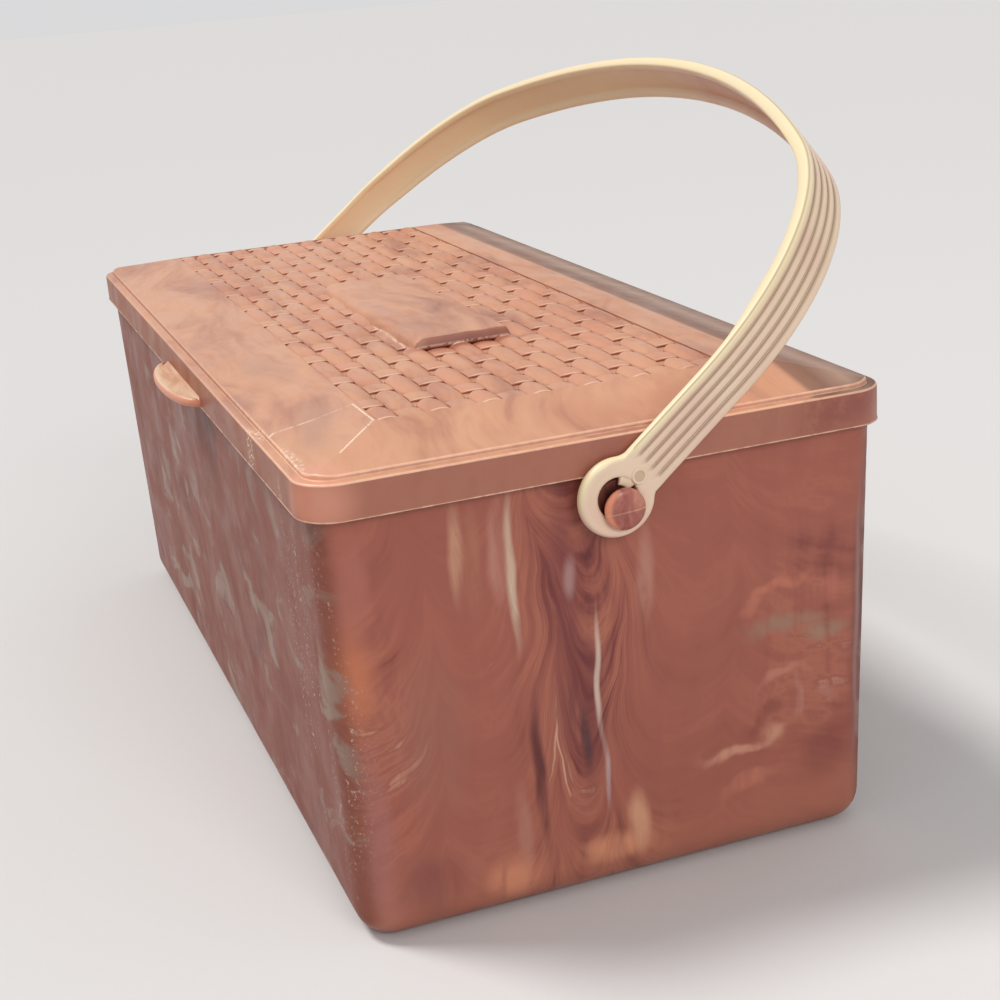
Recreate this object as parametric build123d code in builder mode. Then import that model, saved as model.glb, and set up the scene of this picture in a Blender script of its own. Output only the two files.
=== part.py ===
from build123d import *
from math import cos, hypot, radians, sin, tan
import os

# Sewing caddy in moulded plastic: a deep tub, a hipped lid hinged at the back, a strap handle on two studs
# and a lift-out tray. Millimetres. +X runs along the box to the end with the near stud, -Y is the front with
# the thumb tab, +Z is up, and the origin is the middle of the tub's underside.

# Lid
lid_length = 330.0
lid_width = 157.8
lid_corner_radius = 10.4
lid_wall = 1.8
skirt_bottom = 118.0
skirt_height = 9.6
ledge_width = 2.7
rim_height = 1.2
crown_rise = 4.7
end_border = 26.8
front_border = 26.5
back_border = 24.5
crown_corner_radius = 1.2
panel_back_strip = 9.2
panel_depth = 1.2
plateau_length = 107.5
plateau_width = 29.0
plateau_centre_x = 18.75
plateau_centre_y = -4.9
plateau_rise = 3.7
plateau_flare = 1.3

# Thumb tab on the front skirt
tab_centre_x = 9.0
tab_length = 55.0
tab_reach = 9.4
tab_thickness = 2.0

# Tub
skirt_clearance = 0.5
lid_seat_gap = 0.4
tub_wall = 2.2
tub_draft = 2.4
tub_top_corner_radius = 7.8
tub_foot_corner_radius = 10.0
tub_foot_radius = 9.0

# Back hinges
hinge_spacing = 190.0
pin_radius = 1.2
knuckle_radius = 3.0
lid_knuckle_length = 12.0
tub_knuckle_length = 10.0
knuckle_gap = 0.4
pin_running_clearance = 0.06
hinge_stand_off = 0.4
hinge_drop = 1.6
lug_height = 11.0
lug_drop = 3.0

# Handle
handle_tilt = 51.4
handle_side_gap = 1.2
handle_rise = 133.2
strap_thickness = 2.55
strap_foot_width = 13.1
strap_top_width = 16.0
strap_offset = 2.56
leg_lean = 1.59
corner_arc_radius = 78.7
shoulder_angle = 67.5
groove_depth = 0.5
groove_width = 1.1
groove_pitch = 2.6
groove_start = 12.0
ring_radius = 10.3
ring_rise = 0.7
seat_clearance = 0.1

# Studs that the handle turns on
stud_drop = 8.2
shank_radius = 2.6
stud_head_radius = 5.4
stud_head_thickness = 2.3
stud_head_chamfer = 0.7
stud_end_play = 0.3
stud_flange_radius = 4.2
stud_flange_thickness = 1.5
boss_radius = 6.6

# Lift-out tray
tray_drop = 34.0
tray_depth = 30.0
tray_wall = 1.6
tray_corner_radius = 6.0
tray_side_gap = 0.8
tray_seat_gap = 0.3
tray_divider_y = 10.0
cross_divider_count = 3
peg_count = 5
peg_radius = 3.0
peg_height = 24.0
grip_length = 46.0
grip_rise = 5.0
rail_depth = 8.0
rail_height = 5.0
rail_length = 60.0

# Heights and half sizes that follow
ledge_height = skirt_bottom + skirt_height
rim_top = ledge_height + rim_height
crown_top = rim_top + crown_rise
crown_length = lid_length - 2 * end_border
crown_width = lid_width - front_border - back_border
crown_shift = (front_border - back_border) / 2
panel_width = crown_width - panel_back_strip
panel_shift = crown_shift - panel_back_strip / 2
rim_inset = 2 * ledge_width
rim_radius = lid_corner_radius - ledge_width

tub_top = ledge_height - lid_wall - lid_seat_gap
tub_mouth_length = lid_length - 2 * (lid_wall + skirt_clearance)
tub_mouth_width = lid_width - 2 * (lid_wall + skirt_clearance)
tub_foot_length = tub_mouth_length - 2 * tub_draft
tub_foot_width = tub_mouth_width - 2 * tub_draft


def wall_half_length(height):
    return tub_foot_length / 2 + tub_draft * height / tub_top


def wall_half_width(height):
    return tub_foot_width / 2 + tub_draft * height / tub_top


tray_floor_height = skirt_bottom - tray_drop
rail_top = tray_floor_height - tray_seat_gap
rail_root_x = wall_half_length(rail_top) - tub_wall / 2

hinge_y = lid_width / 2 + hinge_stand_off + knuckle_radius
hinge_z = skirt_bottom - hinge_drop
lug_top = skirt_bottom - lug_drop
lug_root_y = wall_half_width(lug_top - lug_height) - tub_wall / 2
pin_length = lid_knuckle_length + 2 * (knuckle_gap + tub_knuckle_length)

stud_height = skirt_bottom - stud_drop
ring_inner_x = lid_length / 2 + handle_side_gap
ring_outer_x = ring_inner_x + strap_thickness
boss_face_x = ring_inner_x - stud_end_play
stud_wall_x = wall_half_length(stud_height - boss_radius) - tub_wall
ring_hole_radius = hypot(ring_rise, strap_offset) + shank_radius + seat_clearance

# The strap's middle line in the plane of the handle: a leaning leg, a corner arc and one arc over the top,
# each tangent to the next
lean = radians(leg_lean)
shoulder = radians(shoulder_angle)
leg_foot_x = ring_inner_x + strap_thickness / 2
sag = (1 - sin(shoulder)) / cos(shoulder)
corner_x = (leg_foot_x - corner_arc_radius / cos(lean) - tan(lean) * (handle_rise - corner_arc_radius)) / (
    1 - sag * tan(lean)
)
corner_y = handle_rise - corner_arc_radius - sag * corner_x
top_arc_radius = corner_arc_radius + corner_x / cos(shoulder)
top_arc_y = handle_rise - top_arc_radius
leg_start_y = ring_rise + ring_radius / 2

tilt = radians(handle_tilt)
handle_origin = (0, 0, stud_height)
handle_plane = Plane(origin=handle_origin, x_dir=(1, 0, 0), z_dir=(0, -cos(tilt), sin(tilt)))
side_plane = Plane(origin=handle_origin, x_dir=(0, sin(tilt), cos(tilt)), z_dir=(1, 0, 0))


def leg_x(height, side):
    """X of a face of the near leg at a height above the pivot, side being its distance from the middle line."""
    start = corner_y + corner_arc_radius * sin(lean)
    middle = corner_x + corner_arc_radius * cos(lean) + (start - height) * tan(lean)
    return middle + side / cos(lean)


def arch_edge(side, foot):
    """One long edge of the strap, side from the middle line, from leg to leg."""
    reach = corner_arc_radius + side
    arc_start = (corner_x + reach * cos(lean), corner_y + reach * sin(lean))
    turn = shoulder_angle - leg_lean
    leg = Line((leg_x(foot, side), foot), arc_start)
    corner = CenterArc((corner_x, corner_y), reach, leg_lean, turn)
    CenterArc((0, top_arc_y), top_arc_radius + side, shoulder_angle, 180 - 2 * shoulder_angle)
    mirror(leg, about=Plane.YZ)
    mirror(corner, about=Plane.YZ)


def arch_band(outer, inner, foot):
    """The outline between two edges of the strap."""
    with BuildLine() as outline:
        arch_edge(outer, foot)
        arch_edge(inner, foot)
        foot_end = Line((leg_x(foot, inner), foot), (leg_x(foot, outer), foot))
        mirror(foot_end, about=Plane.YZ)
    return outline.edges()


os.makedirs("parts", exist_ok=True)

# The space inside the tub: its outside shape, one wall thickness in
with BuildPart() as tub_cavity:
    with BuildSketch(Plane.XY.offset(tub_wall)):
        RectangleRounded(
            2 * (wall_half_length(tub_wall) - tub_wall),
            2 * (wall_half_width(tub_wall) - tub_wall),
            tub_foot_corner_radius - tub_wall,
        )
    with BuildSketch(Plane.XY.offset(tub_top)):
        RectangleRounded(
            tub_mouth_length - 2 * tub_wall,
            tub_mouth_width - 2 * tub_wall,
            tub_top_corner_radius - tub_wall,
        )
    loft(ruled=True)
    fillet(tub_cavity.edges().group_by(Axis.Z)[0], tub_foot_radius - tub_wall)

# Tub: drafted walls, a rounded foot, bosses for the studs, rails for the tray and knuckles for the hinges
with BuildPart() as tub:
    with BuildSketch():
        RectangleRounded(tub_foot_length, tub_foot_width, tub_foot_corner_radius)
    with BuildSketch(Plane.XY.offset(tub_top)):
        RectangleRounded(tub_mouth_length, tub_mouth_width, tub_top_corner_radius)
    loft(ruled=True)
    fillet(tub.edges().group_by(Axis.Z)[0], tub_foot_radius)
    add(tub_cavity.part, mode=Mode.SUBTRACT)
    for end in (1, -1):
        with BuildSketch(Plane(origin=(end * boss_face_x, 0, stud_height), z_dir=(-end, 0, 0))):
            Circle(boss_radius)
        extrude(amount=boss_face_x - stud_wall_x)
        with BuildSketch(Plane.XY.offset(rail_top)):
            with Locations((end * rail_root_x, 0)):
                Rectangle(rail_depth, rail_length, align=(Align.MAX if end > 0 else Align.MIN, Align.CENTER))
        extrude(amount=-rail_height)
    for hinge_x in (-hinge_spacing / 2, hinge_spacing / 2):
        for side in (1, -1):
            inner_end = hinge_x + side * (lid_knuckle_length / 2 + knuckle_gap)
            start_x = min(inner_end, inner_end + side * tub_knuckle_length)
            with BuildSketch(Plane.YZ.offset(start_x)):
                with Locations((hinge_y, hinge_z)):
                    Circle(knuckle_radius)
                with Locations((lug_root_y, lug_top)):
                    Rectangle(tub_wall / 2, lug_height, align=(Align.MIN, Align.MAX))
                make_hull()
            extrude(amount=tub_knuckle_length)
        with BuildSketch(Plane.YZ.offset(hinge_x - pin_length / 2)):
            with Locations((hinge_y, hinge_z)):
                Circle(pin_radius)
        extrude(amount=pin_length, mode=Mode.SUBTRACT)
    with BuildSketch(Plane(origin=(-boss_face_x, 0, stud_height), z_dir=(1, 0, 0))):
        Circle(shank_radius)
    extrude(amount=2 * boss_face_x, mode=Mode.SUBTRACT)
tub.part.label = "tub"
export_step(tub.part, "parts/tub.step")

# Lid: skirt, ledge and rim, a hipped crown with a recessed panel and a plateau in it, hollow from below
with BuildPart() as lid:
    with BuildSketch(Plane.XY.offset(skirt_bottom)):
        RectangleRounded(lid_length, lid_width, lid_corner_radius)
    extrude(amount=skirt_height)
    with BuildSketch(Plane.XY.offset(ledge_height)):
        RectangleRounded(lid_length - rim_inset, lid_width - rim_inset, rim_radius)
    extrude(amount=rim_height)
    with BuildSketch(Plane.XY.offset(rim_top)):
        RectangleRounded(lid_length - rim_inset, lid_width - rim_inset, rim_radius)
    with BuildSketch(Plane.XY.offset(crown_top)):
        with Locations((0, crown_shift)):
            RectangleRounded(crown_length, crown_width, crown_corner_radius)
    loft(ruled=True)
    with BuildSketch(Plane.XY.offset(crown_top)):
        with Locations((0, panel_shift)):
            RectangleRounded(crown_length, panel_width, crown_corner_radius)
    extrude(amount=-panel_depth, mode=Mode.SUBTRACT)
    with BuildSketch(Plane.XY.offset(crown_top - panel_depth)):
        with Locations((plateau_centre_x, plateau_centre_y)):
            Rectangle(plateau_length, plateau_width)
    with BuildSketch(Plane.XY.offset(crown_top + plateau_rise)):
        with Locations((plateau_centre_x, plateau_centre_y)):
            Rectangle(plateau_length - 2 * plateau_flare, plateau_width - 2 * plateau_flare)
    loft(ruled=True)
    with BuildSketch(Plane.XY.offset(skirt_bottom)):
        with Locations((tab_centre_x, -lid_width / 2)):
            Ellipse(tab_length / 2, tab_reach)
            Rectangle(tab_length, 2 * tab_reach, align=(Align.CENTER, Align.MIN), mode=Mode.SUBTRACT)
            Rectangle(tab_length, lid_wall / 2, align=(Align.CENTER, Align.MIN))
    extrude(amount=tab_thickness)
    for hinge_x in (-hinge_spacing / 2, hinge_spacing / 2):
        with BuildSketch(Plane.YZ.offset(hinge_x - lid_knuckle_length / 2)):
            with Locations((hinge_y, hinge_z)):
                Circle(knuckle_radius)
            with Locations((lid_width / 2, ledge_height - lid_wall)):
                Rectangle(lid_wall / 2, skirt_height - lid_wall, align=(Align.MAX, Align.MAX))
            make_hull()
        extrude(amount=lid_knuckle_length)
        with BuildSketch(Plane.YZ.offset(hinge_x - lid_knuckle_length / 2)):
            with Locations((hinge_y, hinge_z)):
                Circle(pin_radius + pin_running_clearance)
        extrude(amount=lid_knuckle_length, mode=Mode.SUBTRACT)
    with BuildSketch(Plane.XY.offset(skirt_bottom)):
        RectangleRounded(lid_length - 2 * lid_wall, lid_width - 2 * lid_wall, lid_corner_radius - lid_wall)
    extrude(amount=skirt_height - lid_wall, mode=Mode.SUBTRACT)
    cavity_inset = rim_inset + 2 * lid_wall
    with BuildSketch(Plane.XY.offset(ledge_height - lid_wall)):
        RectangleRounded(lid_length - cavity_inset, lid_width - cavity_inset, rim_radius - lid_wall)
    with BuildSketch(Plane.XY.offset(crown_top - panel_depth - lid_wall)):
        with Locations((0, crown_shift)):
            RectangleRounded(crown_length, crown_width, crown_corner_radius)
    loft(ruled=True, mode=Mode.SUBTRACT)
lid.part.label = "lid"
export_step(lid.part, "parts/lid.step")

# Hinge pins, pressed into the tub's knuckles and running in the lid's
for side_name, hinge_x in (("left", -hinge_spacing / 2), ("right", hinge_spacing / 2)):
    with BuildPart() as hinge_pin:
        with BuildSketch(Plane.YZ.offset(hinge_x - pin_length / 2)):
            with Locations((hinge_y, hinge_z)):
                Circle(pin_radius)
        extrude(amount=pin_length)
        chamfer(hinge_pin.edges().filter_by(GeomType.CIRCLE), pin_radius / 4)
    hinge_pin.part.label = f"hinge_pin_{side_name}"
    export_step(hinge_pin.part, f"parts/hinge_pin_{side_name}.step")

# Handle: a grooved strap that widens towards the top, with a holed ring at each foot
with BuildPart() as handle:
    with BuildSketch(handle_plane.offset(strap_offset)):
        make_face(arch_band(strap_thickness / 2, -strap_thickness / 2, leg_start_y))
    extrude(amount=strap_top_width, both=True)
    top_edge = handle_rise + strap_thickness
    with BuildSketch(side_plane):
        with BuildLine():
            foot_edge = Line((0, strap_offset + strap_foot_width / 2), (corner_y, strap_offset + strap_foot_width / 2))
            mid_width = strap_foot_width + 0.66 * (strap_top_width - strap_foot_width)
            flare = ThreePointArc(
                foot_edge @ 1,
                ((corner_y + top_edge) / 2, strap_offset + mid_width / 2),
                (top_edge, strap_offset + strap_top_width / 2),
            )
            mirror(foot_edge, about=Plane.XZ.offset(-strap_offset))
            mirror(flare, about=Plane.XZ.offset(-strap_offset))
            Line(foot_edge @ 0, (0, strap_offset - strap_foot_width / 2))
            Line(flare @ 1, (top_edge, strap_offset - strap_top_width / 2))
        make_face()
    extrude(amount=lid_length, both=True, mode=Mode.INTERSECT)
    for step in (-1.5, -0.5, 0.5, 1.5):
        with BuildSketch(handle_plane.offset(strap_offset + step * groove_pitch)):
            make_face(arch_band(strap_thickness, strap_thickness / 2 - groove_depth, groove_start))
        extrude(amount=groove_width / 2, both=True, mode=Mode.SUBTRACT)
    for end in (1, -1):
        with BuildSketch(side_plane.offset(end * ring_inner_x)):
            with Locations((ring_rise, strap_offset)):
                Circle(ring_radius)
        extrude(amount=end * strap_thickness)
        with BuildSketch(side_plane.offset(end * leg_x(ring_radius, -strap_thickness))):
            with Locations((ring_rise, strap_offset)):
                Circle(ring_hole_radius)
        extrude(amount=end * 3 * strap_thickness, mode=Mode.SUBTRACT)
handle.part.label = "handle"
export_step(handle.part, "parts/handle.step")

# Studs: a chamfered head outside the ring, a shank through ring, boss and wall, and a flange inside
for end_name, end in (("near", 1), ("far", -1)):
    head_base = ring_outer_x + stud_end_play
    with BuildPart() as stud:
        with BuildSketch(Plane(origin=(end * head_base, 0, stud_height), z_dir=(end, 0, 0))):
            Circle(stud_head_radius)
        extrude(amount=stud_head_thickness)
        outer_edges = stud.edges().sort_by(Axis.X)
        chamfer(outer_edges[-1] if end > 0 else outer_edges[0], stud_head_chamfer)
        with BuildSketch(Plane(origin=(end * head_base, 0, stud_height), z_dir=(-end, 0, 0))):
            Circle(shank_radius)
        extrude(amount=head_base - stud_wall_x + stud_flange_thickness)
        with BuildSketch(Plane(origin=(end * stud_wall_x, 0, stud_height), z_dir=(-end, 0, 0))):
            Circle(stud_flange_radius)
        extrude(amount=stud_flange_thickness)
    stud.part.label = f"handle_stud_{end_name}"
    export_step(stud.part, f"parts/handle_stud_{end_name}.step")

# Tray: an open box with a long divider, cross dividers in front, spool pegs behind and a grip in the middle
tray_half_length = stud_wall_x - stud_flange_thickness - tray_side_gap
tray_half_width = wall_half_width(tray_floor_height) - tub_wall - tray_side_gap
tray_inner_length = 2 * (tray_half_length - tray_wall)
tray_front = -tray_half_width + tray_wall
tray_back = tray_half_width - tray_wall
with BuildPart() as tray:
    with BuildSketch(Plane.XY.offset(tray_floor_height)):
        RectangleRounded(2 * tray_half_length, 2 * tray_half_width, tray_corner_radius)
    extrude(amount=tray_depth)
    with BuildSketch(Plane.XY.offset(tray_floor_height + tray_wall)):
        RectangleRounded(tray_inner_length, tray_back - tray_front, tray_corner_radius - tray_wall)
    extrude(amount=tray_depth, mode=Mode.SUBTRACT)
    with BuildSketch(Plane.XY.offset(tray_floor_height)):
        with Locations((0, tray_divider_y)):
            Rectangle(tray_inner_length + tray_wall, tray_wall)
        front_length = tray_divider_y - tray_front + tray_wall
        pitch = tray_inner_length / (cross_divider_count + 1)
        with Locations((0, tray_divider_y - front_length / 2)):
            with GridLocations(pitch, 0, cross_divider_count, 1):
                Rectangle(tray_wall, front_length)
    extrude(amount=tray_depth)
    with BuildSketch(Plane.XY.offset(tray_floor_height)):
        with Locations((0, tray_divider_y)):
            Rectangle(grip_length, 2 * tray_wall)
    extrude(amount=tray_depth + grip_rise)
    peg_field_width = tray_back - tray_divider_y
    with BuildSketch(Plane.XY.offset(tray_floor_height)):
        with Locations((0, tray_divider_y + peg_field_width / 2)):
            with GridLocations(tray_inner_length / peg_count, 0, peg_count, 1):
                Circle(peg_radius)
    extrude(amount=tray_wall + peg_height, taper=1)
tray.part.label = "tray"
export_step(tray.part, "parts/tray.step")

print(f"strap arcs {corner_arc_radius:.1f} and {top_arc_radius:.1f} mm, leg up to {corner_y:.1f} mm")
print(f"ring hole {2 * ring_hole_radius:.2f} mm across, lid top at {crown_top:.1f} mm, tub top at {tub_top:.1f} mm")
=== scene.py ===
import bpy
import bmesh
import math
from mathutils import Matrix, Vector, noise


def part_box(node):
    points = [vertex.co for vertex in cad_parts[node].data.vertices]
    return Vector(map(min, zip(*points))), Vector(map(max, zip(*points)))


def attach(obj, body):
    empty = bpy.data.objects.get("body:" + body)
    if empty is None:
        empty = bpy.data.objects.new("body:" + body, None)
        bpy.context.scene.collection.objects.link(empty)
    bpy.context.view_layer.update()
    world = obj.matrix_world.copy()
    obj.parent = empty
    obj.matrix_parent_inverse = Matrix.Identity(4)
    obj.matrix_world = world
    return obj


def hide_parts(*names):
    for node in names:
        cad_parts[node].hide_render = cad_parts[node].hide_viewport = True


# Sewing caddy in marbled plastic: tub, hipped lid with a woven panel, ribbed strap handle and lift-out tray.
# +X runs towards the near stud, -Y is the front with the thumb tab, +Z is up. Sizes are in mm unless said.

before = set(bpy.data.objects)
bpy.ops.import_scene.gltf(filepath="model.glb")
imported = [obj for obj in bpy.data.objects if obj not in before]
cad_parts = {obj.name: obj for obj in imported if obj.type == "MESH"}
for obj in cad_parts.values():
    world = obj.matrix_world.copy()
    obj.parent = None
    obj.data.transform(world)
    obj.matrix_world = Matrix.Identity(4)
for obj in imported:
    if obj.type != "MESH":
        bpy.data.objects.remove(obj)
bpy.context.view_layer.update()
mm = 0.001

view = {
    "azimuth": 71.09,
    "elevation": 18.39,
    "distance": 640.11,
    "target": (-38.62, 39.20, 44.81),
    "roll": -4.43,
    "lens": 61.69,  # for a 36 mm wide sensor
}

studio = {
    "floor": (0.70, 0.70, 0.71),  # as the camera and reflections see it
    "floorBounce": (0.52, 0.52, 0.52),  # as it lights the sides of the box
    "backdrop": (0.70, 0.70, 0.71),
    "sky": (1.0, 0.98, 0.96),
    "skyStrength": 0.5,
    "keyStrength": 1.9,
    "keyTone": (1.0, 0.97, 0.93),
    "keyFrom": (-0.30, -0.42, 1.0),
    "keySpread": 16,
    "endFill": {"at": (1500, 100, 900), "size": 700, "power": 7.0, "tone": (1.0, 0.97, 0.94)},
    "floorReach": 6.0,  # m
}

bench = {}  # the node tree that the helpers add to, and the material in hand with its shader


def rgb(red, green, blue):
    # a colour as it shows on a screen, 0 to 255, made linear
    return tuple(((part / 255 + 0.055) / 1.055) ** 2.4 for part in (red, green, blue)) + (1.0,)


def rule(operation, turned=False):
    return lambda one, other: calc(operation, *((other, one) if turned else (one, other)))


class Wire:
    # one output of a node; sums with wires, numbers and places make math nodes
    __add__, __radd__ = rule("ADD"), rule("ADD", True)
    __sub__, __rsub__ = rule("SUBTRACT"), rule("SUBTRACT", True)
    __truediv__, __rtruediv__ = rule("DIVIDE"), rule("DIVIDE", True)
    __mul__ = rule("MULTIPLY")

    def __abs__(self):
        return calc("ABSOLUTE", self)

    def __init__(self, socket):
        self.socket = socket
        self.wide = socket.type in ("VECTOR", "RGBA")


class Made:
    # a new node, with its outputs by number or name as wires
    def __init__(self, node):
        self.node = node

    def __getitem__(self, key):
        return Wire(self.node.outputs[key])

    def active(self):
        return Wire(next(output for output in self.node.outputs if output.enabled))


def fill(node, inputs):
    for name, value in inputs.items():
        if isinstance(value, Wire):
            bench["tree"].links.new(value.socket, node.inputs[name])
        else:
            node.inputs[name].default_value = value


def put(kind, inputs=None, **settings):
    # one node with its settings, and its inputs given as values or as wires
    node = bench["tree"].nodes.new(kind)
    for name, value in settings.items():
        setattr(node, name, value)
    fill(node, inputs or {})
    return Made(node)


def calc(operation, *values):
    # a math node, of the vector kind where a value has three parts
    wide = [v.wide if isinstance(v, Wire) else not isinstance(v, (int, float)) for v in values]
    if operation == "MULTIPLY" and wide == [True, False]:
        return put("ShaderNodeVectorMath", {"Vector": values[0], "Scale": values[1]}, operation="SCALE")[0]
    kind = "ShaderNodeVectorMath" if any(wide) else "ShaderNodeMath"
    output = "Value" if operation in ("LENGTH", "DOT_PRODUCT", "DISTANCE") else 0
    return put(kind, dict(enumerate(values)), operation=operation)[output]


def most(first, second):
    return calc("MAXIMUM", first, second)


def joined(x, y, z):
    return put("ShaderNodeCombineXYZ", {"X": x, "Y": y, "Z": z})[0]


def split(vector):
    parts = put("ShaderNodeSeparateXYZ", {"Vector": vector})
    return parts[0], parts[1], parts[2]


def ramped(value, low, high, start=0.0, end=1.0, curve="SMOOTHSTEP"):
    inputs = {"Value": value, "From Min": low, "From Max": high, "To Min": start, "To Max": end}
    return put("ShaderNodeMapRange", inputs, interpolation_type=curve)[0]


def mixed(factor, first, second):
    return put("ShaderNodeMix", {0: factor, 6: first, 7: second}, data_type="RGBA")[2]


def clouds(vector, scale, detail=3.0, roughness=0.5, distortion=0.0, output=0):
    inputs = {"Scale": scale, "Detail": detail, "Roughness": roughness, "Distortion": distortion}
    return put("ShaderNodeTexNoise", {"Vector": vector, **inputs})[output]


def colourRamp(value, stops):
    made = put("ShaderNodeValToRGB", {"Fac": value})
    elements = made.node.color_ramp.elements
    elements[0].position, elements[0].color = stops[0]
    elements[1].position, elements[1].color = stops[-1]
    for place, colour in stops[1:-1]:
        elements.new(place).color = colour
    return made["Color"]


def newMaterial(name):
    # starts a material; gives the place on the piece in mm
    material = bpy.data.materials.new(name)
    material.use_nodes = True
    tree = material.node_tree
    bench.update(tree=tree, material=material, shader=tree.nodes["Principled BSDF"])
    return put("ShaderNodeTexCoord")["Object"] * (1 / mm)


def attribute(name):
    return put("ShaderNodeAttribute", attribute_name=name)["Fac"]


def objectFacing():
    return put("ShaderNodeTexCoord")["Normal"]


def madeUp(colour, rough, height=None, distance=0.0, strength=0.0, gloss=0.5, metallic=0.0):
    # the last links of a material: height, distance in mm and strength make its small bumps
    shader = bench["shader"]
    fill(shader, {"Base Color": colour, "Roughness": rough})
    fill(shader, {"Specular IOR Level": gloss, "Metallic": metallic})
    if height:
        bump = put("ShaderNodeBump", {"Height": height, "Distance": distance * mm, "Strength": strength})
        fill(shader, {"Normal": bump["Normal"]})
    return bench["material"]


def linked(name, data):
    thing = bpy.data.objects.new(name, data)
    bpy.context.scene.collection.objects.link(thing)
    return thing


def makeCamera():
    azimuth, elevation, roll = (math.radians(view[name]) for name in ("azimuth", "elevation", "roll"))
    level = math.cos(elevation)
    back = Vector((math.sin(azimuth) * level, -math.cos(azimuth) * level, math.sin(elevation)))
    right = (-back).cross(Vector((0, 0, 1))).normalized()
    up = right.cross(-back)
    turnedRight = right * math.cos(roll) + up * math.sin(roll)
    turnedUp = up * math.cos(roll) - right * math.sin(roll)
    data = bpy.data.cameras.new("photoCamera")
    data.sensor_width = 36.0
    data.lens = view["lens"]
    camera = linked("photoCamera", data)
    turn = Matrix((turnedRight, turnedUp, back)).transposed().to_4x4()
    camera.matrix_world = Matrix.Translation((Vector(view["target"]) + back * view["distance"]) * mm) @ turn
    bpy.context.scene.camera = camera


def addLight(name, kind, place, tone, strength):
    data = bpy.data.lights.new(name, kind)
    data.color = tone
    data.energy = strength
    light = linked(name, data)
    light.location = place
    light.rotation_euler = (Vector(place) - Vector((0, 0, 0.07))).to_track_quat("Z", "Y").to_euler()
    return data


def shownToEye():
    # 1 for the rays that show a surface to the camera, straight or by way of gloss or glass
    rays = put("ShaderNodeLightPath")
    return most(rays["Is Camera Ray"], most(rays["Is Glossy Ray"], rays["Is Transmission Ray"]))


def makeStudio():
    scene = bpy.context.scene
    scene.view_settings.view_transform = "Standard"
    scene.world = bpy.data.worlds.new("studioWorld")
    scene.world.use_nodes = True
    bench["tree"] = scene.world.node_tree
    bench["tree"].nodes.clear()
    shown = shownToEye()
    lit = put("ShaderNodeBackground", {"Color": (*studio["sky"], 1), "Strength": studio["skyStrength"]})
    seen = put("ShaderNodeBackground", {"Color": (*studio["backdrop"], 1), "Strength": 1.0})
    both = put("ShaderNodeMixShader", {0: shown, 1: lit[0], 2: seen[0]})
    put("ShaderNodeOutputWorld", {"Surface": both[0]})
    key = addLight("keySun", "SUN", studio["keyFrom"], studio["keyTone"], studio["keyStrength"])
    key.angle = math.radians(studio["keySpread"])
    soft = studio["endFill"]
    lamp = addLight("endFill", "AREA", [part * mm for part in soft["at"]], soft["tone"], soft["power"])
    lamp.shape = "DISK"
    lamp.size = soft["size"] * mm
    reach = studio["floorReach"]
    mesh = bpy.data.meshes.new("studioFloor")
    corners = [(-reach, -reach, 0), (reach, -reach, 0), (reach, reach, 0), (-reach, reach, 0)]
    mesh.from_pydata(corners, [], [(0, 1, 2, 3)])
    floor = linked("studioFloor", mesh)
    grain = clouds(newMaterial("floorPaper"), 0.4, 2.0)
    paper = mixed(grain * 0.06, (*studio["floor"], 1), (1.0, 1.0, 1.0, 1))
    paper = mixed(shownToEye(), (*studio["floorBounce"], 1), paper)
    mesh.materials.append(madeUp(paper, 0.9, gloss=0.0))


makeCamera()
makeStudio()
print("camera and studio")

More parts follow.
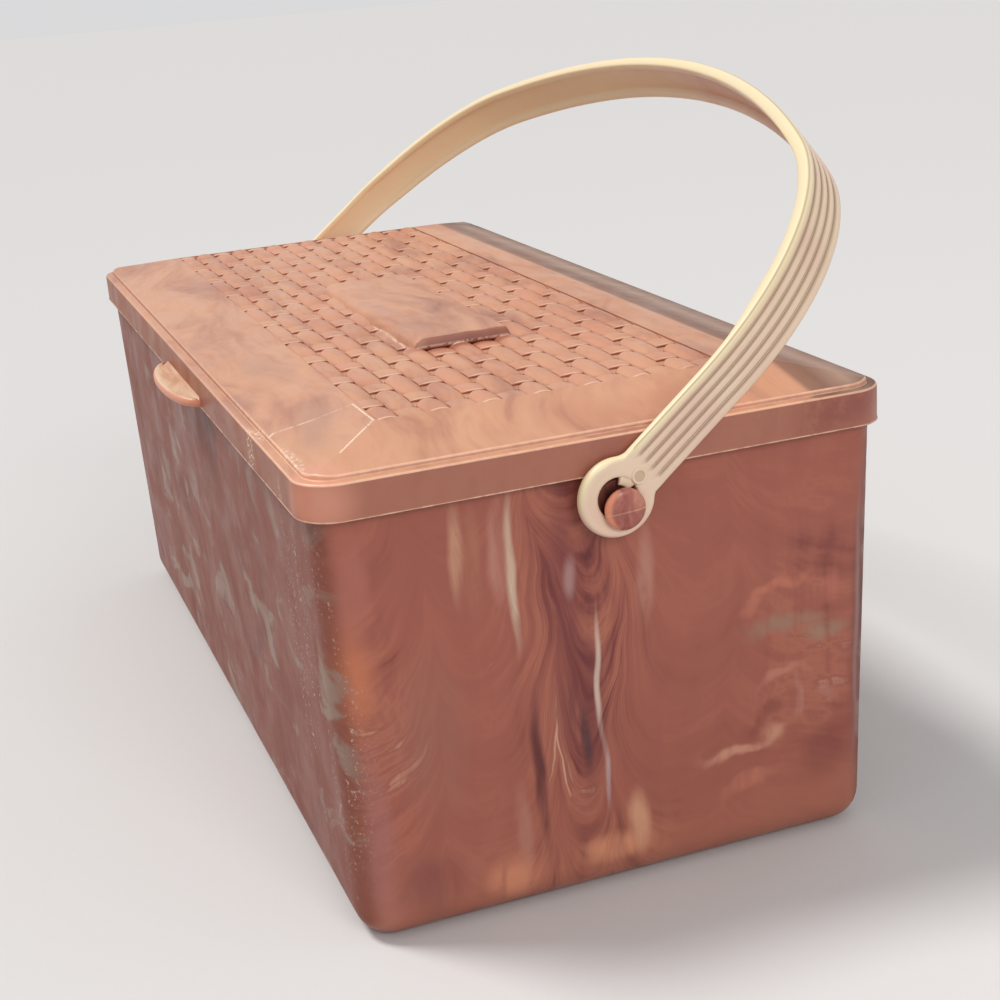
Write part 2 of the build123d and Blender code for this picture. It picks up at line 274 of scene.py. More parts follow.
# Marbled plastic of the tub: layers of melt, pulled into drapes along upright strokes, with blots of colour
tubPlastic = {
    "layers": [
        (0.26, rgb(98, 42, 46)),
        (0.36, rgb(132, 68, 62)),
        (0.44, rgb(160, 92, 78)),
        (0.50, rgb(168, 98, 82)),
        (0.56, rgb(182, 112, 90)),
        (0.63, rgb(160, 94, 80)),
        (0.70, rgb(208, 150, 124)),
        (0.80, rgb(226, 190, 164)),
    ],
    "plain": rgb(164, 94, 80),
    # painted shade and sheen: a darker, greyer tone for the sides facing ±Y
    "frontTone": rgb(128, 82, 73),
    # pale patches on the ±Y sides: partly real frosted scuffing, partly a painted sheen
    "frontPale": rgb(158, 134, 122),
    "strokes": [  # axis, place of the stroke, how far it dragged the layers up and how wide the drape is
        (1, -24, -58, 7), (1, -4, -50, 6), (1, -56, -36, 8), (1, 30, -20, 12), (0, 128, -60, 10),
        (0, 84, -70, 10), (0, 30, -60, 12), (0, -25, -60, 12), (0, -80, -70, 10), (0, -130, -60, 10),
    ],
    "lively": [  # where the marbling is strong: middle, reach and amount
        ((162, -17, 70), (30, 24, 75), 1.0),
        ((162, -70, 60), (30, 16, 60), 0.8),
        ((162, 58, 60), (30, 26, 50), 0.6),
        ((162, -10, 10), (30, 44, 20), 0.8),
    ],
    "blots": [  # screen colour, middle, reach, amount, and for some how far they lean and curve down along Y
        ((118, 54, 58), (162, -15, 86), (20, 7, 36), 0.75),
        ((104, 44, 50), (162, -10, 54), (20, 9, 30), 0.7),
        ((80, 30, 38), (162, -24, 38), (20, 2.4, 28), 0.85),
        ((72, 50, 56), (162, -10, 46), (20, 2.0, 12), 0.7),
        ((226, 204, 178), (162, -28, 95), (20, 1.7, 26), 0.95),
        ((204, 150, 132), (162, -31, 103), (20, 3.4, 18), 0.6),
        ((212, 160, 132), (162, -42, 104), (20, 2.6, 17), 0.75),
        ((186, 128, 98), (162, -38, 100), (20, 3.4, 20), 0.5),
        ((222, 196, 180), (162, -5.5, 62), (20, 1.1, 24), 0.85),
        ((196, 176, 178), (162, -5, 34), (20, 1.1, 13), 0.7),
        ((186, 146, 142), (162, -13, 92), (20, 2.4, 7), 0.7),
        ((202, 152, 134), (162, 8, 88), (20, 3, 18), 0.5),
        ((232, 160, 122), (162, -4, 12), (20, 14, 5), 0.95),
        ((230, 174, 140), (162, 3, 18), (20, 4, 12), 0.8),
        ((230, 152, 118), (162, -34, 11), (20, 10, 8), 0.9),
        ((190, 136, 118), (162, -30, 24), (20, 3, 16), 0.6),
        ((206, 124, 90), (162, -71, 76), (14, 8, 20), 0.75),
        ((156, 104, 92), (162, -52, 56), (16, 12, 30), 0.5),
        ((160, 126, 108), (162, 48, 67), (16, 17, 4.6), 0.75, (0.12, 0.016)),
        ((166, 132, 110), (162, 60, 62), (16, 9, 3.5), 0.7),
        ((206, 126, 100), (162, 44, 77), (16, 13, 2.6), 0.6, (-0.45, 0.02)),
        ((190, 112, 96), (162, 61, 75), (16, 4, 6), 0.6),
        ((202, 134, 114), (162, 46, 52.5), (16, 10, 2.2), 0.6, (-0.25, 0.03)),
        ((200, 144, 128), (162, 50, 44), (16, 2.6, 8), 0.7, (1.2, 0)),
        ((188, 128, 114), (162, 61, 44), (16, 5, 3.4), 0.6, (0.3, 0)),
        ((216, 156, 132), (162, 33, 31.5), (16, 15, 2.3), 0.75, (-0.2, -0.008)),
        ((206, 150, 124), (162, 43, 35.5), (16, 5, 3.4), 0.7),
        ((206, 130, 106), (162, 36, 22), (16, 12, 2.6), 0.6, (-0.3, 0)),
        ((126, 62, 58), (162, 40, 40), (16, 9, 4), 0.6, (-0.6, 0)),
        ((120, 58, 56), (162, 60, 26), (16, 12, 12), 0.5),
        ((112, 50, 56), (162, -56, 14), (16, 12, 12), 0.7),
        ((170, 112, 110), (160, -68, 30), (14, 5, 34), 0.5),
        # painted shade down the back-right corner, and next a thin painted highlight along it
        ((82, 46, 42), (162, 75, 58), (14, 9, 64), 0.95),
        ((170, 132, 132), (162, 70, 60), (14, 1.4, 50), 0.6),
        ((182, 112, 98), (162, -68, 100), (14, 7, 20), 0.6),
        # painted shade on the boss behind the ring, seen through its hole
        ((38, 14, 15), (166, -1.5, 110.5), (4, 9, 9), 1.0),
    ],
    # painted shadow of the thumb tab on the front face
    "underTab": [((112, 50, 34), (27, -76, 113), (22, 9, 9), 0.95)],
    "marks": [  # pale rubbed lines: two ends, half width and amount
        ((162, -47, 41), (162, -34, 44), 0.3, 0.5),
        ((162, -42, 26), (162, -30, 31), 0.25, 0.4),
        ((162, -37, 71), (162, -35, 73), 0.25, 0.6),
    ],
    "nearEdge": ((140, -76, 66), (40, 12, 75), 0.9),
    "scuffTone": rgb(226, 208, 198),
    "markTone": rgb(222, 200, 188),
    # tone of the painted floor-bounce light low on the sides
    "footTone": rgb(190, 124, 102),
    "wobble": 32.0,
}


def combedHeight(parts, strokes):
    height = parts[2]
    for axis, at, pull, spread in strokes:
        height = height + pull * spread / (abs(parts[axis] - at) + spread)
    return height


def blotMask(place, grain, at, reach, amount, bend=None):
    away = place - at
    if bend:
        gap = split(away)[1]
        lean, curve = bend
        away = away + joined(0.0, 0.0, gap * (gap * curve + lean))
    return ramped(calc("LENGTH", away / reach), 1.05, 0.25) * grain * amount


def lineMask(place, breaks, start, end, width, amount):
    # how much of a thin mark covers a point, from its distance to the line between the mark's ends
    start, end = Vector(start), Vector(end)
    along = (end - start).normalized()
    offset = place - start
    run = calc("MINIMUM", most(calc("DOT_PRODUCT", offset, along), 0.0), (end - start).length)
    gap = calc("DISTANCE", offset, joined(*along) * run)
    return ramped(gap, width * 1.6, width * 0.5) * breaks * amount


def blotted(colour, place, rows, grain=1.0):
    for tone, *blot in rows:
        colour = mixed(blotMask(place, grain, *blot), colour, rgb(*tone))
    return colour


def swayedPlace(place, scale, reach):
    return place + (clouds(place, scale, 2.0, output="Color") - (0.5, 0.5, 0.5)) * reach


def marbledTub():
    s = tubPlastic
    place = newMaterial("marbledTub")
    swayed = swayedPlace(swayedPlace(place, 0.014, s["wobble"]), 0.05, 4.5)
    parts = split(swayed)
    drawn = joined(parts[0], parts[1], combedHeight(parts, s["strokes"]))
    layers = clouds(drawn * (0.014, 0.02, 0.055), 1.0, 3.0, 0.5, 0.3)
    lines = clouds(drawn * (0.03, 0.05, 0.3), 1.0, 4.0, 0.55)
    fibre = clouds(drawn * (0.13, 0.16, 0.012), 1.0, 4.0, 0.6)
    value = layers * 0.5 + lines * 0.28 + fibre * 0.22
    lively = 0.0
    for zone in s["lively"]:
        lively = most(lively, blotMask(swayed, 1.0, *zone))
    front = ramped(abs(split(objectFacing())[1]), 0.3, 0.95)
    lively = most(lively, front * 0.45)
    value = (value - 0.5) * (lively * 1.25 + 0.75) + 0.5
    colour = mixed(0.62 - lively * 0.6, colourRamp(value, s["layers"]), s["plain"])
    ragged = ramped(fibre, 0.3, 0.56, 0.35, 1.0)
    blotPlace = swayedPlace(place, 0.03, 7.0)
    wavyPlace = swayedPlace(blotPlace, 0.1, 9.0)
    for tone, *blot in s["blots"]:
        bent = len(blot) > 3
        colour = mixed(blotMask(wavyPlace if bent else blotPlace, ragged, *blot), colour, rgb(*tone))
    # painted shade and sheen: the sides facing ±Y take a darker, greyer tone
    colour = mixed(front * 0.66, colour, s["frontTone"])
    # pale patches on the ±Y sides, more towards the bottom: partly real frosted scuffing, partly painted
    # sheen
    pale = ramped(clouds(place * (0.045, 0.045, 0.062), 1.0, 4.0, 0.55, 0.6), 0.56, 0.66)
    high = split(place)[2]
    colour = mixed(pale * (front * ramped(high, 112.0, 70.0, 0.45, 0.9)), colour, s["frontPale"])
    # painted shadow under the thumb tab
    colour = blotted(colour, place, s["underTab"])
    speckle = ramped(clouds(place, 0.9, 4.0, 0.75), 0.57, 0.64)
    scuff = speckle * ramped(clouds(place * (0.22, 0.1, 0.012), 1.0), 0.5, 0.6)
    colour = mixed(scuff * blotMask(place, 1.0, *s["nearEdge"]), colour, s["scuffTone"])
    breaks = ramped(clouds(place, 1.1, 3.0, 0.7), 0.4, 0.6)
    for mark in s["marks"]:
        colour = mixed(lineMask(place, breaks, *mark), colour, s["markTone"])
    # painted light from the floor: sides other than the front get lighter towards the bottom
    foot = ramped(high, 34.0, 2.0, 0.0, 0.4)
    colour = mixed(foot * (1.0 - front), colour, s["footTone"])
    rough = ramped(clouds(place, 0.06, 4.0, 0.6), 0.3, 0.7, 0.32, 0.5)
    gloss = ramped(front, 0.0, 0.8, 0.35, 0.06)
    return madeUp(colour, rough, layers * 0.6 + clouds(place, 0.12), 0.25, 0.35, gloss)


# Lid plastic: the same marbling, paler and calmer, drawn along the length
lidPlastic = {
    "layers": [
        (0.30, rgb(158, 104, 86)),
        (0.42, rgb(188, 130, 102)),
        (0.50, rgb(204, 147, 115)),
        (0.58, rgb(212, 156, 122)),
        (0.70, rgb(192, 138, 112)),
    ],
    # painted shade: tones for the upright faces, darker on those facing front
    "skirt": rgb(161, 94, 79),
    "skirtFront": rgb(146, 82, 64),
    "flash": rgb(232, 186, 160),
    # tone of the painted shade in the weave's low valleys
    "valley": rgb(138, 84, 64),
    "rimLight": rgb(250, 212, 186),
    "tint": rgb(208, 134, 104),
    # tone of the painted highlight on the rounded edges
    "wornEdge": rgb(246, 196, 166),
    "scuffTone": rgb(252, 226, 206),
    "markTone": rgb(248, 222, 196),
    "blots": [
        ((168, 128, 112), (122, -66, 130), (26, 7, 12), 0.5),
        ((172, 130, 112), (60, -62, 130), (26, 6, 12), 0.4),
        ((188, 120, 92), (152, 20, 131), (12, 40, 10), 0.4),
        ((138, 70, 62), (165, 66, 123), (12, 20, 10), 0.7),
        ((168, 124, 92), (-16, 0, 137), (20, 14, 4), 0.7),
        ((198, 138, 118), (60, 3, 137), (12, 8, 4), 0.5),
        ((186, 136, 116), (35, -18, 136), (50, 5, 5), 0.6),
    ],
    # a painted highlight on the skirt's near-front corner, then painted shade at the foot of the plateau's
    # near wall
    "plainBlots": [
        ((232, 160, 136), (160, -74, 123), (13, 12, 12), 0.7),
        ((136, 72, 58), (73, -4, 134.5), (4, 27, 8), 0.9),
    ],
    # painted shade on the back slope, darker and greyer than the top
    "backTones": [  # over 22 mm from the foot of the back slope to the skirt
        (0.0, rgb(150, 112, 92)),
        (0.3, rgb(128, 96, 82)),
        (0.62, rgb(168, 140, 124)),
        (1.0, rgb(112, 84, 72)),
    ],
    # pale speckled flecks on the front skirt and ledge: partly scuffs and burrs, partly painted glints
    "scuffs": [
        ((109, -79, 123), (6, 3, 9), 0.95),
        ((144, -76, 129.2), (17, 2.6, 2.2), 0.95),
        ((112, -77.5, 128), (8, 3, 2), 0.8),
        ((141, -79, 121), (2, 3, 6), 0.7),
    ],
    "marks": [
        ((137, -52.6, 133.5), (118.8, -52.9, 133.5), 0.24, 0.9),
        ((137.2, -52.6, 133.4), (151.3, -65.3, 130.9), 0.3, 0.95),
        ((118.8, -52.9, 133.4), (120, -64, 131.3), 0.22, 0.5),
        ((120, -64, 131.3), (119, -74.4, 129.3), 0.3, 0.8),
        ((119, -74.4, 129.3), (122, -77, 128.7), 0.3, 0.9),
        ((71.8, -20, 133.9), (71.8, 9, 133.9), 0.5, 0.85),
        ((69, -22, 133.4), (34, -22, 133.4), 0.45, 0.6),
    ],
}


def marbledLid(name, bumps=0.5, tintName=None):
    s = lidPlastic
    place = newMaterial(name)
    swayed = swayedPlace(place, 0.016, 34.0)
    x, y, z = split(place)
    faceX, faceY, faceZ = split(objectFacing())
    layers = clouds(swayed * (0.011, 0.045, 0.05), 1.0, 5.0, 0.55, 0.6)
    fine = clouds(swayed * (0.05, 0.3, 0.2), 1.0, 4.0, 0.6)
    colour = colourRamp(layers * 0.75 + fine * 0.25, s["layers"])
    # painted shade: upright faces take a darker tone, darker still where they face front
    skirtShadeTone = mixed(ramped(faceY, -0.4, -0.9), s["skirt"], s["skirtFront"])
    colour = mixed(ramped(faceZ, 0.75, 0.2) * 0.8, colour, skirtShadeTone)
    colour = blotted(colour, swayed, s["blots"], ramped(fine, 0.3, 0.6, 0.3, 1.0))
    # a painted highlight and a painted shade, as listed
    colour = blotted(colour, place, s["plainBlots"])
    # the back slope is painted in shade
    behind = ramped(y + layers * 2.0, 56.0, 58.5) * ramped(faceZ, 0.6, 0.9)
    backShadeTone = colourRamp(ramped(y, 55.0, 77.0, curve="LINEAR"), s["backTones"])
    colour = mixed(behind * 0.9, colour, backShadeTone)
    if tintName:
        colour = mixed(ramped(attribute(tintName), 0.2, 1.0, 0.0, 0.4), colour, s["tint"])
        # painted shade in the weave's low valleys, stronger towards the near end, and a painted highlight on
        # the near-facing rims of the cross strands
        valley = ramped(z, 133.0, 132.35, 0.0, 0.55) * ramped(x, -90.0, 110.0, 0.3, 1.0)
        colour = mixed(valley, colour, s["valley"])
        rim = ramped(faceX, 0.25, 0.6) * ramped(z, 132.75, 133.05)
        colour = mixed(rim * 0.75, colour, s["rimLight"])
    torn = ramped(clouds(place, 0.22, 3.0, 0.6), 0.42, 0.58, 0.15, 0.8)
    colour = mixed(ramped(z, 118.5, 118.15) * torn, colour, s["flash"])
    # painted highlight on the rounded edges and the rim wall below the hip, broken up by noise and stronger
    # towards the near end
    rimWall = ramped(z, 127.7, 128.0) * ramped(faceZ, 0.9, 0.6, 0.0, 0.6)
    edge = most(ramped(faceZ, 0.15, 0.4) * ramped(faceZ, 0.96, 0.85), rimWall)
    glintBreaks = ramped(clouds(place, 0.35, 3.0, 0.6), 0.3, 0.6, 0.7, 1.0) * ramped(x, 20.0, 150.0, 0.3, 0.85)
    colour = mixed(edge * glintBreaks * ramped(z, 130.0, 129.2), colour, s["wornEdge"])
    # pale flecks on the front skirt and ledge, partly scuffs and partly painted glints
    speckle = ramped(clouds(place, 0.9, 4.0, 0.75), 0.5, 0.6)
    for scuff in s["scuffs"]:
        colour = mixed(blotMask(place, speckle, *scuff), colour, s["scuffTone"])
    breaks = ramped(clouds(place, 0.9, 3.0, 0.7), 0.38, 0.52)
    for mark in s["marks"]:
        colour = mixed(lineMask(place, breaks, *mark), colour, s["markTone"])
    rough = ramped(clouds(place, 0.08, 4.0, 0.6), 0.3, 0.7, 0.3, 0.45)
    gloss = ramped(most(ramped(abs(faceY), 0.5, 0.9), behind), 0.0, 1.0, 0.5, 0.08)
    return madeUp(colour, rough, clouds(place, 0.05) + fine * 0.15, bumps, 0.5, gloss)


creamPlastic = {
    "base": rgb(244, 218, 190),
    "rosy": rgb(238, 204, 184),
    # pale yellow: painted highlights, and a yellower tone towards the far leg
    "yellow": rgb(246, 228, 188),
    # tone of the painted shade inside the strap's inner channel
    "channel": rgb(192, 134, 96),
    "forward": (0, -0.624, 0.782),  # the way the strap's front edge faces
    "upwards": (0, 0.782, 0.624),
    # dirt, also used for painted shade in the rib grooves
    "dirt": rgb(150, 122, 96),
}


def creamHandle():
    s = creamPlastic
    place = newMaterial("creamHandle")
    x = split(place)[0]
    colour = mixed(ramped(clouds(place, 0.03), 0.35, 0.65), s["rosy"], s["base"])
    forward = calc("DOT_PRODUCT", objectFacing(), s["forward"])
    fromPivot = place - (0, 0, strap["pivotZ"])
    across = calc("DOT_PRODUCT", fromPivot, s["forward"]) - strap["offset"]
    along = calc("DOT_PRODUCT", fromPivot, s["upwards"])
    reach = calc("LENGTH", joined(across, along - ring["rise"], 0.0))
    # painted highlights in pale yellow on the ring's rounded rim and along the strap's front edge
    ringRimHighlight = ramped(reach, 7.0, 9.0) * ramped(along, 10.5, 9.0) * ramped(forward, 0.05, 0.7)
    strapEdgeHighlight = ramped(across, 4.3, 4.9) * ramped(forward, -0.3, 0.2) * ramped(along, 9.0, 12.0)
    colour = mixed(most(ringRimHighlight, strapEdgeHighlight), colour, s["yellow"])
    colour = mixed(ramped(x, 60.0, -80.0, 0.0, 0.75), colour, s["yellow"])
    # painted shade inside the strap's inner channel, stronger towards the near leg
    colour = mixed(attribute("channel") * ramped(x, -60.0, 60.0, 0.1, 0.65), colour, s["channel"])
    colour = mixed(ramped(clouds(place, 0.7, 4.0, 0.7), 0.62, 0.8, 0.0, 0.25), colour, s["dirt"])
    # painted shade in the grooves between the ribs
    colour = mixed(attribute("groove") * 0.8, colour, s["dirt"])
    # darker inside the small raised circle
    fromMark = calc("LENGTH", joined(across, along - (ring["rise"] + ring["markRise"]), 0.0))
    colour = mixed(ramped(fromMark, 1.55, 1.2, 0.0, 0.4), colour, s["dirt"])
    rough = ramped(clouds(place, 0.15), 0.3, 0.7, 0.34, 0.5)
    return madeUp(colour, rough, clouds(place, 0.5), 0.06, 0.4)


def trayMaterial():
    place = newMaterial("trayCream")
    patches = clouds(place * (0.02, 0.05, 0.05), 1.0, 4.0, 0.5, 0.4)
    colour = mixed(patches, rgb(214, 188, 160), rgb(228, 208, 182))
    return madeUp(colour, ramped(patches, 0.3, 0.7, 0.36, 0.5), clouds(place, 0.4), 0.05, 0.4, 0.45)


def pinSteelMaterial():
    drawn = clouds(newMaterial("pinSteel") * (0.1, 3.0, 3.0), 1.0)
    colour = mixed(drawn, rgb(150, 150, 152), rgb(196, 196, 198))
    return madeUp(colour, ramped(drawn, 0.3, 0.7, 0.25, 0.4), metallic=1.0)


tubMaterial = marbledTub()
lidMaterial = marbledLid("marbledLid")
weaveMaterial = marbledLid("marbledWeave", 0.8, "tint")
print("materials")


def reshape(mesh, change):
    # edits a mesh and turns its faces outwards
    shell = bmesh.new()
    shell.from_mesh(mesh)
    change(shell)
    bmesh.ops.recalc_face_normals(shell, faces=shell.faces)
    shell.to_mesh(mesh)
    shell.free()


def addPiece(name, points, faces, material, outward=False, even=True):
    # points in mm
    mesh = bpy.data.meshes.new(name)
    mesh.from_pydata([Vector(point) * mm for point in points], [], faces)
    mesh.shade_smooth()
    mesh.materials.append(material)
    piece = linked(name, mesh)
    if outward:
        reshape(mesh, lambda shell: None)
    if even:
        piece.modifiers.new("evenNormals", "WEIGHTED_NORMAL").weight = 60
    return piece


def skinned(loops, ringOnly=False):
    # one closed surface through loops of equal count, capped at both ends unless it runs round to itself
    count = len(loops[0])
    points = [point for loop in loops for point in loop]
    faces = []
    for row in range(len(loops) if ringOnly else len(loops) - 1):
        low, high = row * count, (row + 1) % len(loops) * count
        for step in range(count):
            after = (step + 1) % count
            faces.append((low + step, low + after, high + after, high + step))
    if not ringOnly:
        faces.append(tuple(reversed(range(count))))
        faces.append(tuple(range((len(loops) - 1) * count, len(loops) * count)))
    return points, faces


def roundedLoop(halfX, halfY, radius, heightOf, shiftY=0.0, steps=16):
    loop = []
    for signX, signY, start in ((1, 1, 0), (-1, 1, 90), (-1, -1, 180), (1, -1, 270)):
        for step in range(steps + 1):
            angle = math.radians(start + 90 * step / steps)
            x = signX * (halfX - radius) + radius * math.cos(angle)
            y = signY * (halfY - radius) + radius * math.sin(angle) + shiftY
            loop.append((x, y, heightOf(x, y) if callable(heightOf) else heightOf))
    return loop


lidShape = {
    "cornerRadius": 10.4,
    "width": 157.8,
    "wall": 1.8,
    "skirtBottom": 118.0,
    "skirtHeight": 9.6,
    "ledgeWidth": 2.7,
    "rimHeight": 1.2,
    "crownRise": 4.7,
    "endBorder": 26.8,
    "frontBorder": 26.5,
    "backBorder": 24.5,
    "backStrip": 9.2,
    "panelDepth": 1.2,
    "panelInset": 0.62,
    "edgeRound": 0.75,
    "flash": 0.18,
}


def lidNumbers():
    s = dict(lidShape)
    s["halfX"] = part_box("lid")[1].x / mm
    s["halfY"] = s["width"] / 2
    s["ledgeTop"] = s["skirtBottom"] + s["skirtHeight"]
    s["rimTop"] = s["ledgeTop"] + s["rimHeight"]
    s["crownTop"] = s["rimTop"] + s["crownRise"]
    s["rimX"] = s["halfX"] - s["ledgeWidth"]
    s["rimY"] = s["halfY"] - s["ledgeWidth"]
    s["crownX"] = s["halfX"] - s["endBorder"]
    s["crownFront"] = s["frontBorder"] - s["halfY"]
    s["crownBack"] = s["halfY"] - s["backBorder"]
    s["panelBack"] = s["crownBack"] - s["backStrip"]
    return s


lidSizes = lidNumbers()


def hipHeight(x, y):
    s = lidSizes
    end = (s["rimX"] - abs(x)) / (s["rimX"] - s["crownX"])
    front = (y + s["rimY"]) / (s["crownFront"] + s["rimY"])
    back = (s["rimY"] - y) / (s["rimY"] - s["crownBack"])
    return s["rimTop"] + s["crownRise"] * min(end, front, back, 1.0)


def lidLoops():
    s = lidSizes
    wall, bottom, ledge, rim = s["wall"], s["skirtBottom"], s["ledgeTop"], s["ledgeWidth"]
    loops = []

    def ring(inset, height):
        radius = s["cornerRadius"] - inset
        loops.append(roundedLoop(s["halfX"] - inset, s["halfY"] - inset, radius, height))

    def crown(inset, height, back=s["crownBack"], radius=0.5):
        halfY = (back - s["crownFront"]) / 2 - inset
        shift = (back + s["crownFront"]) / 2
        loops.append(roundedLoop(s["crownX"] - inset, halfY, radius, height, shift))

    crown(0.0, s["crownTop"] - s["panelDepth"] - wall, radius=1.2)
    ring(rim + wall, ledge - wall)
    ring(wall, ledge - wall)
    ring(wall, bottom)
    ring(0.3, bottom)
    ring(-s["flash"], bottom - 0.03)
    ring(-s["flash"] * 0.8, bottom + 0.16)
    ring(0.0, bottom + 0.4)
    for angle in (0, 22, 45, 68, 90):
        turn = math.radians(angle)
        ring(s["edgeRound"] * (1 - math.cos(turn)), ledge - s["edgeRound"] * (1 - math.sin(turn)))
    for inset, rise in ((-0.35, 0.0), (-0.08, 0.09), (0.0, 0.35)):
        ring(rim + inset, ledge + rise)
    for inset, drop in ((0.02, 0.6), (0.1, 0.3), (0.28, 0.1), (0.55, 0.02), (0.9, 0.0)):
        ring(rim + inset, lambda x, y, drop=drop: hipHeight(x, y) - drop)
    crown(-0.5, hipHeight)
    crown(0.0, lambda x, y: hipHeight(x, y) - 0.02)
    crown(0.35, s["crownTop"])
    for inset, drop in ((0.5, 0.0), (0.6, 0.12), (s["panelInset"], s["panelDepth"])):
        crown(inset, s["crownTop"] - drop, s["panelBack"])
    return loops


def makeLid():
    lid = addPiece("lidShell", *skinned(lidLoops()), lidMaterial)
    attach(lid, "lid")
    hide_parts("lid")


makeLid()
print("lid shell")

tabShape = {"centreX": 9.5, "length": 57.0, "reach": 7.9, "sections": 40}


def tabSection(reach):
    # outwards from the skirt and up from its bottom edge: under the plate, round its lip and into the skirt
    lip = [(1.3, 0.0), (0.45, 0.25), (0.05, 0.85), (0.0, 1.5), (0.2, 2.1), (0.65, 2.5), (1.3, 2.6),
           (2.2, 2.45)]
    root = [(1.7, 2.25), (0.9, 2.3), (0.35, 2.5), (0.02, 2.9), (-0.9, 2.9)]
    profile = [(-0.9, 0.0)] + [(reach - back, up) for back, up in lip] + [(0.5 * reach, 2.3)] + root
    growth = min(1.0, 0.15 + reach / 3.5)
    return [(min(out, max(reach, 0.02)), up * growth) for out, up in profile]


def tabPlastic():
    place = newMaterial("tabPlastic")
    patches = clouds(place * (0.04, 0.2, 0.2), 1.0, 4.0, 0.5, 0.5)
    top = mixed(ramped(patches, 0.4, 0.6), rgb(232, 196, 162), rgb(212, 162, 128))
    colour = mixed(ramped(split(objectFacing())[2], 0.72, 0.97), rgb(218, 142, 114), top)
    return madeUp(colour, 0.36, clouds(place, 0.2), 0.2, 0.4)


def makeTab():
    s = tabShape
    loops = []
    for step in range(s["sections"] + 1):
        angle = math.pi * step / s["sections"]
        x = s["centreX"] + (s["length"] / 2) * math.cos(angle)
        section = tabSection(s["reach"] * math.sin(angle) ** 0.85)
        loops.append([(x, -lidSizes["halfY"] - out, lidSizes["skirtBottom"] + up) for out, up in section])
    tab = addPiece("thumbTab", *skinned(loops), tabPlastic(), outward=True)
    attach(tab, "lid")


makeTab()

plateauShape = {
    "length": 107.0,
    "width": 31.8,
    "centreX": 18.2,
    "centreY": -6.3,
    "rise": 2.2,
    "slopes": {"near": 1.3, "far": 5.0, "front": 4.4, "back": 1.9},  # how far in the top starts
    "steps": [(52, 0.35), (3, 0.3)],
    "dent": 0.45,
    "cell": 1.6,
}


def steppedPlaces(half):
    # places across the plateau: close together over the rounded edge, then even
    edge = [0.0, 0.45, 0.85, 1.15, 1.4, 1.75, 2.3]
    inner = half - edge[-1]
    count = max(2, round(2 * inner / plateauShape["cell"]))
    middle = [-inner + 2 * inner * step / count for step in range(1, count)]
    return [-half + e for e in edge] + middle + [half - e for e in reversed(edge)]


def edgeRise(distance, reach):
    # from 0 at the foot of an edge to 1 on the top, straight and then rounded over
    part = min(1.0, max(0.0, distance / reach))
    return part * (2 - part) if reach > 2 else 1 - (1 - part) ** 1.6


def plateauHeight(x, y):
    s, slopes = plateauShape, plateauShape["slopes"]
    rise = edgeRise(s["length"] / 2 - x, slopes["near"]) * edgeRise(s["length"] / 2 + x, slopes["far"])
    rise *= edgeRise(s["width"] / 2 + y, slopes["front"]) * edgeRise(s["width"] / 2 - y, slopes["back"])
    sway = noise.noise(Vector((x * 0.06, y * 0.09, 3.1)))
    sway += 0.5 * noise.noise(Vector((x * 0.15, y * 0.2, 7.7)))
    height = (s["rise"] + lidSizes["panelDepth"]) * rise + s["dent"] * sway * rise ** 3
    for at, drop in s["steps"]:
        edge = s["centreX"] + x - at - 2.0 * noise.noise(Vector((y * 0.12, at, 0.5)))
        height += drop * rise ** 3 * min(1.0, max(0.0, edge / 1.2))
    return lidSizes["crownTop"] - lidSizes["panelDepth"] + height


def makePlateau():
    s = plateauShape
    xs, ys = steppedPlaces(s["length"] / 2), steppedPlaces(s["width"] / 2)
    points = [(s["centreX"] + x, s["centreY"] + y, plateauHeight(x, y)) for x in xs for y in ys]
    rows, columns = len(xs), len(ys)
    faces = []
    for row in range(rows - 1):
        for corner in range(row * columns, row * columns + columns - 1):
            faces.append((corner, corner + columns, corner + columns + 1, corner + 1))
    border = [r * columns for r in range(rows)] + [(rows - 1) * columns + c for c in range(1, columns)]
    border += [r * columns + columns - 1 for r in range(rows - 2, -1, -1)] + list(range(columns - 2, 0, -1))
    faces.append(tuple(reversed(border)))
    plateau = addPiece("lidPlateau", points, faces, lidMaterial)
    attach(plateau, "lid")


makePlateau()
print("tab and plateau")


def geometryTree(name, inputs):
    tree = bpy.data.node_groups.new(name, "GeometryNodeTree")
    tree.interface.new_socket("Geometry", in_out="INPUT", socket_type="NodeSocketGeometry")
    kinds = {bpy.types.Object: "Object", bpy.types.Material: "Material", int: "Int", float: "Float"}
    for label, value in inputs.items():
        kind = next(kind for sort, kind in kinds.items() if isinstance(value, sort))
        tree.interface.new_socket(label, in_out="INPUT", socket_type="NodeSocket" + kind)
    tree.interface.new_socket("Geometry", in_out="OUTPUT", socket_type="NodeSocketGeometry")
    bench["tree"] = tree
    return tree, put("NodeGroupInput")


def stored(geometry, name, value, kind="FLOAT"):
    inputs = {"Geometry": geometry, "Name": name, "Value": value}
    return put("GeometryNodeStoreNamedAttribute", inputs, data_type=kind, domain="POINT")[0]


def recalled(name, kind="FLOAT"):
    return put("GeometryNodeInputNamedAttribute", {"Name": name}, data_type=kind).active()


def pointPlace():
    return put("GeometryNodeInputPosition")[0]


def moved(geometry, place):
    return put("GeometryNodeSetPosition", {"Geometry": geometry, "Position": place})[0]


def between(factor, first, second):
    return put("ShaderNodeMix", {0: factor, 2: first, 3: second}, data_type="FLOAT")[0]


def above(value, limit):
    return calc("GREATER_THAN", value, limit)


def below(value, limit):
    return calc("LESS_THAN", value, limit)


def painted(geometry, material):
    # the end of a tree
    made = put("GeometryNodeSetMaterial", {"Geometry": geometry, "Material": material})
    put("NodeGroupOutput", {"Geometry": made[0]})


